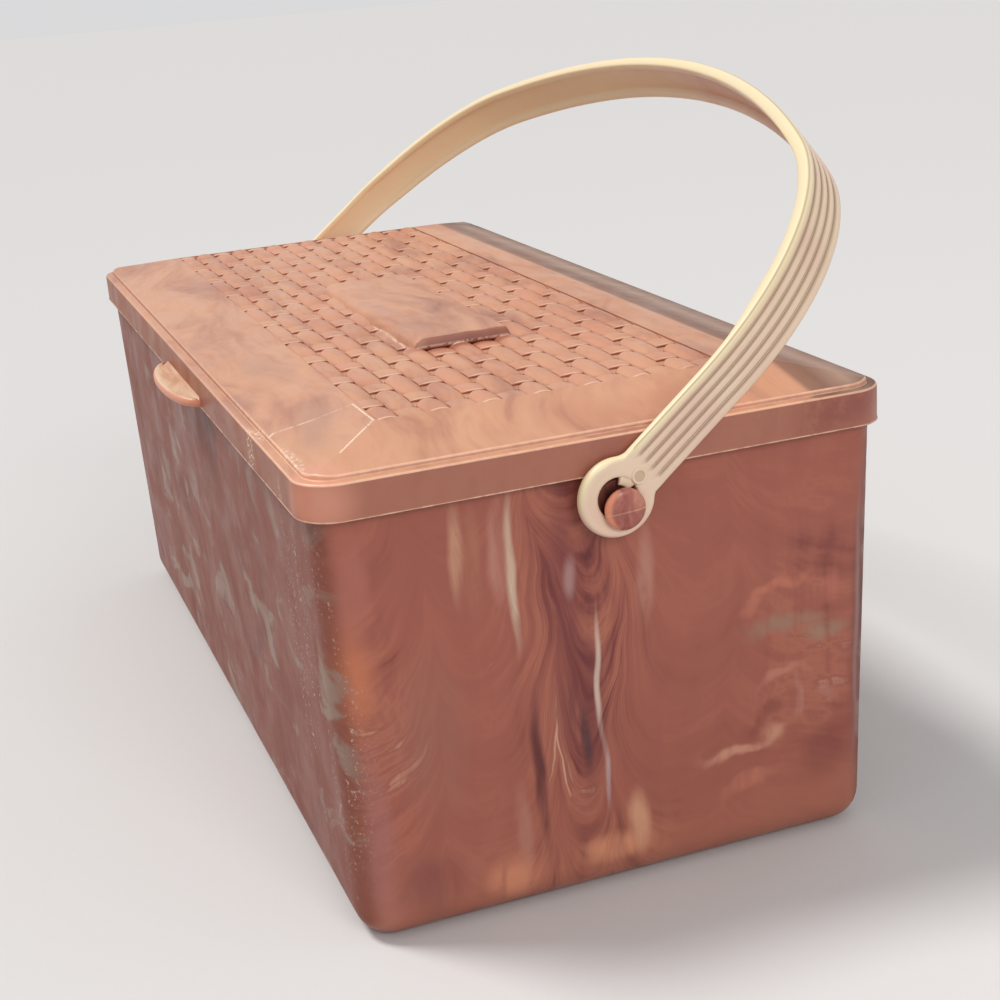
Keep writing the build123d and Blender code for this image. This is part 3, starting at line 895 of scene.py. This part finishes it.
def grown(name, source, tree, inputs, body):
    # runs a tree on a source object and keeps the result as a plain mesh that rides on a body
    modifier = source.modifiers.new("grow", "NODES")
    modifier.node_group = tree
    for item in tree.interface.items_tree:
        if item.in_out == "INPUT" and item.name in inputs:
            modifier[item.identifier] = inputs[item.name]
    bpy.context.view_layer.update()
    mesh = bpy.data.meshes.new_from_object(source.evaluated_get(bpy.context.evaluated_depsgraph_get()))
    mesh.name = name
    source.modifiers.clear()
    bpy.data.objects.remove(source)
    piece = linked(name, mesh)
    reshape(mesh, lambda shell: bmesh.ops.dissolve_degenerate(shell, dist=0.002 * mm, edges=shell.edges))
    mesh.shade_smooth()
    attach(piece, body)
    print(name, len(mesh.polygons), "faces")
    return piece


# Basket weave: one lattice of crossings, a raised strand along X at every other one, a cross strand between
weave = {
    "firstX": 134.8,
    "firstY": -49.0,
    "pitchX": 14.4,
    "pitchY": 6.98,
    "rows": 20,
    "columns": 14,
    "strandLength": 19.0,
    "strandWidth": 7.1,
    "strandCrown": 1.2,
    "strandFarDrop": 0.25,
    "strandNearDrop": 1.1,
    "strandTop": 0.3,
    "strandBow": 0.24,  # how much of the far half is drawn back at the sides
    "crossLength": 9.6,
    "crossWidth": 7.0,
    "crossCrown": 0.5,
    "crossFarDrop": 0.9,
    "crossNearDrop": 0.3,
    "crossTop": -0.1,
    "crossShift": -2.3,
    "clearX": 18.75,  # the plateau covers the lattice round this place
    "clearY": -4.9,
    "clearHalfX": 43.0,
    "clearHalfY": 9.0,
    "seed": 4,
}


def power(value, exponent):
    return calc("POWER", abs(value), exponent)


def domedBlock(given, kind, cells, farPower, nearPower):
    # a closed block with a crowned top: its far end drops sharply or slowly, and its near end the other way
    inputs = {"Size": (1, 1, 1), "Vertices X": cells[0], "Vertices Y": cells[1], "Vertices Z": 2}
    block = put("GeometryNodeMeshCube", inputs)[0]
    parts = split(pointPlace())
    along, across = (calc("SINE", parts[axis] * math.pi) for axis in (0, 1))
    far = power(calc("MINIMUM", along, 0.0), farPower)
    near = power(most(along, 0.0), nearPower)
    fall = far * given[kind + "FarDrop"] + near * given[kind + "NearDrop"]
    fall = fall + power(across, 2.3) * given[kind + "Crown"]
    surface = most(given[kind + "Top"] - fall, -1.22)
    height = between(above(parts[2], 0.0), -1.3, surface)
    if kind == "strand":
        along = most(along, along * (1.0 - power(across, 2.0) * given["strandBow"]))
    run = along * (given[kind + "Length"] * 0.5)
    if kind == "cross":
        run = run + given["crossShift"]
    return moved(block, joined(run, across * (given[kind + "Width"] * 0.5), height))


def trimmed(value, low, high):
    return put("ShaderNodeClamp", {"Value": value, "Min": low, "Max": high})[0]


def weaveTree(inputs):
    tree, given = geometryTree("weaveTree", inputs)
    lattice = put("GeometryNodeMeshGrid", {
        "Size X": (given["rows"] - 1) * given["pitchX"], "Size Y": (given["columns"] - 1) * given["pitchY"],
        "Vertices X": given["rows"], "Vertices Y": given["columns"]})
    index = put("GeometryNodeInputIndex")[0]
    row = calc("FLOOR", (index + 0.5) / given["columns"])
    column = index - row * given["columns"]
    x = given["firstX"] - row * given["pitchX"]
    laid = moved(lattice[0], joined(x, given["firstY"] + column * given["pitchY"], 0.0))
    limits = {"Min": 0.0, "Max": 1.0, "Seed": given["seed"]}
    tinted = stored(laid, "tint", put("FunctionNodeRandomValue", limits, data_type="FLOAT").active())
    parts = split(pointPlace())
    gaps = [abs(parts[axis] - given[name]) for axis, name in ((0, "clearX"), (1, "clearY"))]
    hidden = below(gaps[0], given["clearHalfX"]) * below(gaps[1], given["clearHalfY"])
    # every crossing's parity is kept before points are deleted
    marked = stored(tinted, "cross", calc("ROUND", calc("MODULO", row + column, 2.0)))
    left = put("GeometryNodeDeleteGeometry", {"Geometry": marked, "Selection": hidden}, domain="POINT")[0]
    cross = recalled("cross")
    strand = domedBlock(given, "strand", (14, 11), 12.0, 3.0)
    crossing = domedBlock(given, "cross", (9, 7), 2.0, 12.0)
    limits = {0: (0.985, 0.97, 1.0), 1: (1.015, 1.0, 1.0), "Seed": given["seed"]}
    scale = put("FunctionNodeRandomValue", limits, data_type="FLOAT_VECTOR").active()
    both = put("GeometryNodeJoinGeometry")
    for choice, block in ((below(cross, 0.5), {"Instance": strand, "Scale": scale}),
                          (above(cross, 0.5), {"Instance": crossing})):
        blocks = put("GeometryNodeInstanceOnPoints", {"Points": left, "Selection": choice, **block})
        fill(both.node, {0: blocks[0]})
    real = put("GeometryNodeRealizeInstances", {"Geometry": both[0]})[0]
    at = split(pointPlace())
    x = trimmed(at[0], given["panelX"] * -1.0, given["panelX"])
    y = trimmed(at[1], given["panelFront"], given["panelBack"])
    inPlace = put("GeometryNodeTransform", {
        "Geometry": moved(real, joined(x, y, at[2])), "Translation": joined(0.0, 0.0, given["topZ"] * mm),
        "Scale": (mm, mm, mm)})[0]
    painted(inPlace, given["material"])
    return tree


def makeWeave():
    s = lidSizes
    inset = s["panelInset"]
    inputs = {**weave, "panelX": s["crownX"] - inset, "panelFront": s["crownFront"] + inset,
              "panelBack": s["panelBack"] - inset, "topZ": s["crownTop"], "material": weaveMaterial}
    source = addPiece("weaveSource", [(0, 0, 0)], [], weaveMaterial, even=False)
    grown("lidWeave", source, weaveTree(inputs), inputs, "lid")


makeWeave()

# Strap handle: a path of two legs, two corner arcs and a top arc, and a ribbed section that widens upwards
strap = {
    "tilt": 51.4,
    "pivotZ": 109.8,
    "footX": 167.475,
    "rise": 133.2,
    "lean": 1.59,
    "cornerRadius": 78.7,
    "shoulder": 67.5,
    "offset": 2.56,
    "thickness": 2.55,
    "footWidth": 13.1,
    "topWidth": 16.0,
    "flareStart": 37.1,
    "flarePower": 1.556,
    "ribs": 5,
    "grooveDepth": 0.85,
    "groovePitch": 2.6,
    "channelDepth": 0.4,
    "channelRim": 2.3,
    "beadStart": 45.0,  # above this height the edges thicken inwards
    "beadFull": 64.0,
    "beadDepth": 1.5,
    "pathStart": 8.4,
    "ribStart": 11.2,
    "step": 2.0,
}

ring = {
    "radius": 10.3,
    "rise": 0.7,
    "hole": 5.35,
    "neckFillet": 6.0,
    "stubHalf": 6.3,
    "stubTop": 11.0,
    "lip": 0.45,
    "slope": 0.079,
    "faceX": 168.5,
    "depth": 2.3,
    "markRise": 7.57,
    "markRadius": 1.75,
    "markLine": 0.4,
    "markSteps": 48,
    "tongue": ((5.5, 167.2), (5.5, 168.2), (3.6, 168.0), (3.25, 167.8), (3.25, 167.4), (3.6, 167.2)),
    "tongueFrom": -8,  # degrees round the hole
    "tongueSweep": 50,
    "tongueSteps": 8,
    "steps": 144,
}

handleTurn = Matrix.Rotation(math.radians(90 - strap["tilt"]), 4, "X")
handlePlace = Matrix.Translation((0, 0, strap["pivotZ"] * mm)) @ handleTurn
creamMaterial = creamHandle()


def arc(x, y, radius, start, end):
    count = round(radius * (end - start) / strap["step"])
    angles = [start + (end - start) * step / count for step in range(count)]
    return [(x + radius * math.cos(angle), y + radius * math.sin(angle)) for angle in angles]


def strapPath():
    s = strap
    lean, shoulder, corner = math.radians(s["lean"]), math.radians(s["shoulder"]), s["cornerRadius"]
    sag = (1 - math.sin(shoulder)) / math.cos(shoulder)
    reach = s["footX"] - corner / math.cos(lean) - math.tan(lean) * (s["rise"] - corner)
    cornerX = reach / (1 - sag * math.tan(lean))
    cornerY = s["rise"] - corner - sag * cornerX
    topRadius = corner + cornerX / math.cos(shoulder)
    legX, legY = cornerX + corner * math.cos(lean), cornerY + corner * math.sin(lean)
    count = round((legY - s["pathStart"]) / s["step"] * 2)
    heights = [s["pathStart"] + (legY - s["pathStart"]) * step / count for step in range(count)]
    half = [(legX + (legY - height) * math.tan(lean), height) for height in heights]
    half += arc(cornerX, cornerY, corner, lean, shoulder)
    half += arc(0.0, s["rise"] - topRadius, topRadius, shoulder, math.pi / 2)
    return half + [(0.0, s["rise"])] + [(-x, y) for x, y in reversed(half)]


def strapSection():
    # across and outwards, for the foot's width: ribs on the outer face, a shallow channel on the inner one
    s = strap
    half, back, deep = s["footWidth"] / 2, -s["thickness"], s["channelDepth"]

    def curved(start, end, steps):
        return [(start + (end - start) * part, drop) for part, drop in steps]

    points = [(-half, -1.3), (-half, -0.75), (-half + 0.15, -0.38), (-half + 0.42, -0.15)]
    low = -half + 0.42
    for step in range(s["ribs"] - 1):
        groove = (step - (s["ribs"] - 2) / 2) * s["groovePitch"]
        first = step == 0
        crest = low + 0.55 if first else (low + groove) / 2
        points += curved(low, crest, ((0.25, -0.35), (0.55, -0.12), (1.0, 0.0))[first:])
        points += curved(crest, groove, ((0.45, -0.12), (0.7, -0.32), (0.88, -0.6)))
        low = groove + 0.17
        points += [(groove, -s["grooveDepth"]), (low, -0.68)]
    points += curved(low, half - 1.1, ((0.2, -0.32), (0.4, -0.1), (0.7, 0.0), (1.0, -0.03)))
    points += [(half - 0.7, -0.14), (half - 0.3, -0.42), (half - 0.06, -0.85), (half, -1.3)]
    rim = half - s["channelRim"]
    side = [(half, back + 0.5), (half - 0.3, back + 0.08), (half - 0.6, back), (rim + 0.25, back),
            (rim, back + deep * 0.6), (rim - 0.4, back + deep)]
    return points + side + [(0.0, back + 0.45)] + [(-across, out) for across, out in reversed(side)]


def polyCurve(name, points, cyclic):
    data = bpy.data.curves.new(name, "CURVE")
    data.dimensions = "3D"
    line = data.splines.new("POLY")
    line.points.add(len(points) - 1)
    for point, (x, y) in zip(line.points, points):
        point.co = (x * mm, y * mm, 0, 1)
    line.use_cyclic_u = cyclic
    return linked(name, data)


def strapTree(inputs):
    tree, given = geometryTree("strapTree", inputs)
    section = put("GeometryNodeObjectInfo", {"Object": given["section"]}, transform_space="ORIGINAL")
    kept = stored(section["Geometry"], "sectionPlace", pointPlace(), "FLOAT_VECTOR")
    path = stored(given["Geometry"], "pathPlace", put("GeometryNodeSplineParameter")["Factor"])
    swept = put("GeometryNodeCurveToMesh", {"Curve": path, "Profile Curve": kept, "Fill Caps": True})
    along, local = recalled("pathPlace"), split(recalled("sectionPlace", "FLOAT_VECTOR"))
    across, out = local[0], local[1]
    sample = put("GeometryNodeSampleCurve", {"Curves": given["Geometry"], "Factor": along}, mode="FACTOR")
    outward = calc("NORMALIZE", calc("CROSS_PRODUCT", sample["Tangent"], (0, 0, 1)))
    height = split(sample["Position"])[1]
    top = (given["rise"] + given["thickness"]) * mm
    climb = ramped(height, given["flareStart"] * mm, top, curve="LINEAR")
    flare = 1.0 - calc("POWER", 1.0 - climb, given["flarePower"])
    spread = 1.0 + (given["topWidth"] / given["footWidth"] - 1.0) * flare
    ribStart = given["ribStart"] * mm
    full = ramped(height, ribStart, ribStart + 1.6 * mm)
    outerFace = above(out, -0.7 * mm)
    flat = between(0.5, calc("MINIMUM", out, -0.3 * mm), -0.3 * mm)
    shapedOut = between((1.0 - full) * outerFace, out, flat)
    innerFace, rimStart = below(out, -1.6 * mm), given["beadInner"] * mm
    bead = ramped(height, given["beadStart"] * mm, given["beadFull"] * mm) * innerFace
    bead = bead * above(abs(across), rimStart)
    shapedOut = shapedOut - bead * (given["beadDepth"] * mm)
    place = sample["Position"] + outward * (shapedOut + given["thickness"] * (0.5 * mm))
    place = place + joined(0.0, 0.0, across * spread + given["offset"] * mm)
    shaped = moved(swept[0], place)
    shaped = stored(shaped, "groove", ramped(out, -0.1 * mm, -0.55 * mm) * (outerFace * full))
    shaped = stored(shaped, "channel", below(abs(across), rimStart) * innerFace)
    painted(put("GeometryNodeRealizeInstances", {"Geometry": shaped})[0], given["material"])
    return tree


def makeStrap():
    section = polyCurve("strapSection", strapSection(), True)
    source = polyCurve("strapPath", strapPath(), False)
    wanted = ("flareStart", "rise", "thickness", "flarePower", "topWidth", "footWidth", "ribStart", "offset",
              "beadStart", "beadFull", "beadDepth")
    inputs = {name: float(strap[name]) for name in wanted}
    inputs["beadInner"] = strap["footWidth"] / 2 - strap["channelRim"] + 0.1
    inputs.update(section=section, material=creamMaterial)
    piece = grown("handleStrap", source, strapTree(inputs), inputs, "handle")
    piece.data.transform(handlePlace)
    bpy.data.objects.remove(section)
    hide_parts("handle")


makeStrap()


def turnFromStrap(angle):
    return abs((angle + math.pi) % (2 * math.pi) - math.pi)


def ringReach(angle):
    # distance from the ring's middle to its outline, at an angle from the strap's direction
    s, turn = ring, turnFromStrap(angle)
    filletAcross = s["stubHalf"] + s["neckFillet"]
    filletUp = math.sqrt((s["radius"] + s["neckFillet"]) ** 2 - filletAcross ** 2)
    if turn >= math.atan2(filletAcross, filletUp):
        return s["radius"]
    if turn <= math.atan2(s["stubHalf"], s["stubTop"]):
        return s["stubTop"] / math.cos(turn)
    if turn <= math.atan2(s["stubHalf"], filletUp):
        return s["stubHalf"] / math.sin(turn)
    toward = filletAcross * math.sin(turn) + filletUp * math.cos(turn)
    away = filletAcross ** 2 + filletUp ** 2 - s["neckFillet"] ** 2
    return toward - math.sqrt(toward ** 2 - away)


def inHandle(end, points):
    # from across, up the strap and out along X to the place of the handle, mirrored for the far end
    return [handlePlace @ Vector((end * out * mm, up * mm, across * mm)) / mm for across, up, out in points]


def fullTurn(count):
    return [2 * math.pi * step / count for step in range(count)]


def ringPoint(reach, angle, out, lift=0.0):
    # on the ring's face or beside it: reach and angle round its middle, lift from the middle up the strap
    up = ring["rise"] + lift + reach * math.cos(angle)
    return strap["offset"] + reach * math.sin(angle), up, out


def fallen(point, raised=0.0):
    # the ring's face falls back towards the strap, so that its neck ends under the ribs
    across, up, out = point
    return across, up, out + raised - ring["slope"] * max(0.0, up - 6.0)


def ringLoop(reachOf, inset, out, lip=0.0):
    loop = []
    for angle in fullTurn(ring["steps"]):
        # the lip grows over half a radian on either side of the neck
        raised = lip * ring["lip"] * min(1.0, max(0.0, (turnFromStrap(angle) - 0.75) / 0.5))
        loop.append(fallen(ringPoint(reachOf(angle) - inset, angle, out), raised))
    return loop


def makeRing(name, end):
    s = ring
    middle, hole = lambda angle: min(ringReach(angle), s["radius"]), lambda angle: s["hole"]
    # outline, how far in, how far behind the face and how much of the lip
    profile = [
        (ringReach, 0.5, s["depth"], 0.0), (ringReach, 0.12, s["depth"] - 0.15, 0.0),
        (ringReach, 0.0, s["depth"] - 0.5, 0.0), (ringReach, 0.0, 1.25, 0.0),
        (ringReach, 0.1, 0.85, 0.3), (ringReach, 0.35, 0.4, 0.6),
        (ringReach, 0.75, 0.12, 0.85), (ringReach, 1.2, 0.02, 1.0), (middle, 1.7, 0.0, 1.0),
        (middle, 2.2, 0.0, 0.75), (middle, 2.8, 0.0, 0.3), (middle, 3.5, 0.0, 0.0), (hole, -0.7, 0.02, 0.0),
        (hole, -0.25, 0.12, 0.0), (hole, 0.0, 0.45, 0.0), (hole, 0.0, s["depth"] - 0.2, 0.0),
        (hole, -0.2, s["depth"], 0.0),
    ]
    loops = [ringLoop(outline, inset, s["faceX"] - behind, lip) for outline, inset, behind, lip in profile]
    points, faces = skinned(loops, ringOnly=True)
    if end > 0:
        faces = [tuple(reversed(face)) for face in faces]
    piece = addPiece(name, inHandle(end, points), faces, creamMaterial)
    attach(piece, "handle")


def makeRingMark(name, end):
    # a small raised circle at the foot of the ribs, and the tongue that stands in the hole
    s = ring
    loops = []
    for angle in fullTurn(s["markSteps"]):
        loop = []
        for tube in fullTurn(8):
            reach = s["markRadius"] + s["markLine"] * math.cos(tube)
            raised = s["markLine"] * 0.8 * math.sin(tube)
            loop.append(fallen(ringPoint(reach, angle, s["faceX"], s["markRise"]), raised))
        loops.append(loop)
    points, faces = skinned(loops, ringOnly=True)
    start, steps = len(points), s["tongueSteps"]
    angles = [math.radians(s["tongueFrom"] + s["tongueSweep"] * step / steps) for step in range(steps + 1)]
    rows = [start + row * (steps + 1) for row in range(len(s["tongue"]))]
    for (reach, out), low, high in zip(s["tongue"], rows, rows[1:] + rows[:1]):
        points += [ringPoint(reach, angle, out) for angle in angles]
        for step in range(steps):
            faces.append((low + step, low + step + 1, high + step + 1, high + step))
    faces.append(tuple(rows))
    faces.append(tuple(row + steps for row in reversed(rows)))
    piece = addPiece(name, inHandle(end, points), faces, creamMaterial, outward=True)
    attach(piece, "handle")


for endName, endSign in (("Near", 1), ("Far", -1)):
    makeRing(f"ring{endName}", endSign)
    makeRingMark(f"ringMark{endName}", endSign)
print("handle")

stud = {
    "profile": [(158.6, 0.0), (158.6, 3.9), (158.8, 4.2), (159.9, 4.2), (160.08, 4.0), (160.08, 2.6),
                (169.0, 2.6), (169.05, 4.9), (169.25, 5.3), (169.6, 5.4), (170.0, 5.4), (170.3, 5.33),
                (170.55, 5.1), (170.8, 4.75), (171.0, 4.35), (171.14, 3.9), (171.24, 3.3), (171.32, 2.4),
                (171.36, 1.2), (171.37, 0.0)],
    "layers": [(0.3, rgb(150, 78, 70)), (0.45, rgb(176, 104, 92)), (0.55, rgb(188, 116, 100)),
               (0.7, rgb(206, 142, 122))],
    # tone of the painted highlight on the head's front-facing side
    "frontTone": rgb(240, 154, 118),
    "seam": ((0, -5.0, 109.0), (0, 5.0, 109.6), 0.2, 0.8),
    "seamTone": rgb(236, 184, 160),
    "steps": 56,
}


def studMaterial():
    s = stud
    place = newMaterial("marbledStud")
    layers = clouds(swayedPlace(place, 0.12, 5.0) * (0.12, 0.3, 0.14), 1.0, 3.0, 0.5, 0.3)
    colour = colourRamp(layers, s["layers"])
    # painted highlight on the front-facing side of the head's rounded edge
    frontHighlight = ramped(split(objectFacing())[1], -0.12, -0.45, 0.0, 0.8)
    colour = mixed(frontHighlight, colour, s["frontTone"])
    seam = lineMask(place * (0, 1, 1), ramped(layers, 0.3, 0.6, 0.4, 1.0), *s["seam"])
    colour = mixed(seam, colour, s["seamTone"])
    rough = ramped(clouds(place, 0.5), 0.3, 0.7, 0.28, 0.42)
    return madeUp(colour, rough, clouds(place, 0.3, 2.0), 0.12, 0.3)


def makeSeam(name, end, material):
    # the thin raised line across a stud's head
    slope, half, width, steps = 0.06, 4.5, 0.2, 12
    last = 3 * steps
    points = []
    for step in range(steps + 1):
        y = -half + 2 * half * step / steps
        z = strap["pivotZ"] + slope * y - 0.5 + 0.08 * math.sin(step * 0.9)
        domed = 0.5 * (y / half) ** 4
        for out, up in ((170.9, -width), (171.62, 0.0), (170.9, width)):
            points.append((end * (out - domed), y, z + up))
    faces = [(0, 1, 2), (last + 2, last + 1, last)]
    for step in range(steps):
        for side in range(3):
            low, after = 3 * step + side, 3 * step + (side + 1) % 3
            faces.append((low, low + 3, after + 3, after))
    piece = addPiece(name, points, faces, material, outward=True, even=False)
    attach(piece, "body")


def makeStud(name, end, node, material):
    profile, steps, centre = stud["profile"], stud["steps"], strap["pivotZ"]
    points = [(end * profile[0][0], 0, centre)]
    for x, radius in profile[1:-1]:
        for angle in fullTurn(steps):
            points.append((end * x, radius * math.cos(angle), centre + radius * math.sin(angle)))
    points.append((end * profile[-1][0], 0, centre))
    faces = []
    last = 1 + (len(profile) - 3) * steps
    for step in range(steps):
        after = (step + 1) % steps
        faces.append((0, 1 + after, 1 + step))
        for low in range(1, last, steps):
            faces.append((low + step, low + after, low + steps + after, low + steps + step))
        faces.append((last + step, last + after, len(points) - 1))
    if end < 0:
        faces = [tuple(reversed(face)) for face in faces]
    piece = addPiece(name, points, faces, material)
    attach(piece, "body")
    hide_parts(node)


studPlastic = studMaterial()
makeStud("studNear", 1, "handle_stud_near", studPlastic)
makeStud("studFar", -1, "handle_stud_far", studPlastic)
makeSeam("studSeamNear", 1, studPlastic)
makeSeam("studSeamFar", -1, studPlastic)

knuckle = {"spacing": 190.0, "length": 12.0, "radius": 3.0, "bore": 1.26, "y": 82.3, "z": 116.4, "steps": 48}


def makeKnuckle(name, middleX):
    # an arm from the lid's back skirt that ends in an eye for the hinge pin
    s, root, top = knuckle, lidSizes["halfY"], lidSizes["ledgeTop"] - lidSizes["wall"]
    directions = [(math.cos(angle), math.sin(angle)) for angle in fullTurn(s["steps"])]
    outer, inner = ([(s["y"] + radius * y, s["z"] + radius * z) for y, z in directions]
                    for radius in (s["radius"], s["bore"]))
    hull = [p for p in outer if not (p[0] < s["y"] - 0.5 and p[1] > s["z"] - 1.0)]
    hull += [(root - 0.9, lidSizes["skirtBottom"]), (root - 0.9, top), (root, top)]
    hull.sort(key=lambda p: math.atan2(p[1] - s["z"], p[0] - s["y"]))
    start = middleX - s["length"] / 2
    mesh = bpy.data.meshes.new(name)

    def fillEye(shell):
        edges = []
        for outline in (hull, inner):
            corners = [shell.verts.new((start * mm, y * mm, z * mm)) for y, z in outline]
            edges += [shell.edges.new(pair) for pair in zip(corners, corners[1:] + corners[:1])]
        bmesh.ops.triangle_fill(shell, edges=edges, use_beauty=True, normal=(1, 0, 0))
        made = bmesh.ops.extrude_face_region(shell, geom=list(shell.faces))
        ends = [item for item in made["geom"] if isinstance(item, bmesh.types.BMVert)]
        bmesh.ops.translate(shell, verts=ends, vec=(s["length"] * mm, 0, 0))

    reshape(mesh, fillEye)
    mesh.materials.append(lidMaterial)
    piece = linked(name, mesh)
    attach(piece, "lid")


makeKnuckle("lidKnuckleLeft", -knuckle["spacing"] / 2)
makeKnuckle("lidKnuckleRight", knuckle["spacing"] / 2)
print("studs and knuckles")

pinSteel = pinSteelMaterial()
finishes = (("tub", tubMaterial), ("tray", trayMaterial()), ("hinge_pin_left", pinSteel),
            ("hinge_pin_right", pinSteel))
for nodeName, finish in finishes:
    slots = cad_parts[nodeName].data.materials
    slots.clear()
    slots.append(finish)
